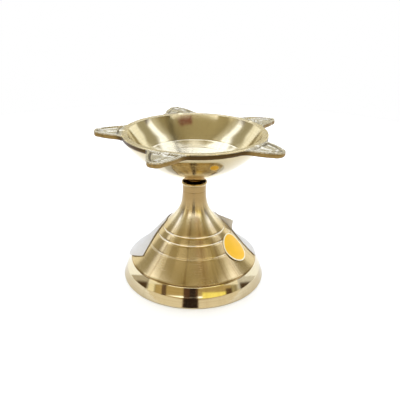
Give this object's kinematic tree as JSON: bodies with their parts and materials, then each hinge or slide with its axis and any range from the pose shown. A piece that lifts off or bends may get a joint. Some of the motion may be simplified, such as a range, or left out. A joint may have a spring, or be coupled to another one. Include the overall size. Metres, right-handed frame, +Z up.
{
  "type": "diya oil lamp",
  "caption": "Small brass oil lamp: an open dish with pointed wick spouts round its rim, screwed onto a hollow, turned, cone-shaped stand that it rests on.",
  "frame": {"origin": "centre of the foot, on the surface that the lamp stands on", "axes": "+Z up along the axis of the turned stand; +X to the right and +Y away, seen from the front"},
  "size_m": [0.0867, 0.0906, 0.074],
  "materials": {
    "brass": "turned and polished, with fine lathe lines",
    "steel": "plain threaded rod",
    "sticker": "coated paper, orange-yellow with a pale border",
    "label": "matt white paper"
  },
  "bodies": {
    "stand": {"stand": "brass", "round_sticker": "sticker", "paper_label": "label"},
    "stud": {"threaded_stud": "steel"},
    "bowl": {"lamp_bowl": "brass"}
  },
  "joints": [
    {"name": "stud_lift", "type": "slide", "parent": "stand", "child": "stud", "axis": [0, 0, 1], "range_m": [0, 0.0064]},
    {"name": "bowl_turn", "type": "hinge", "parent": "stud", "child": "bowl", "pos_m": [0, 0, 0.0491], "axis": [0, 0, 1], "range_deg": [0, 2880]}
  ],
  "couplings": [
    {"joint": "stud_lift", "follows": "bowl_turn", "m_per_rad": 0.00012732}
  ]
}
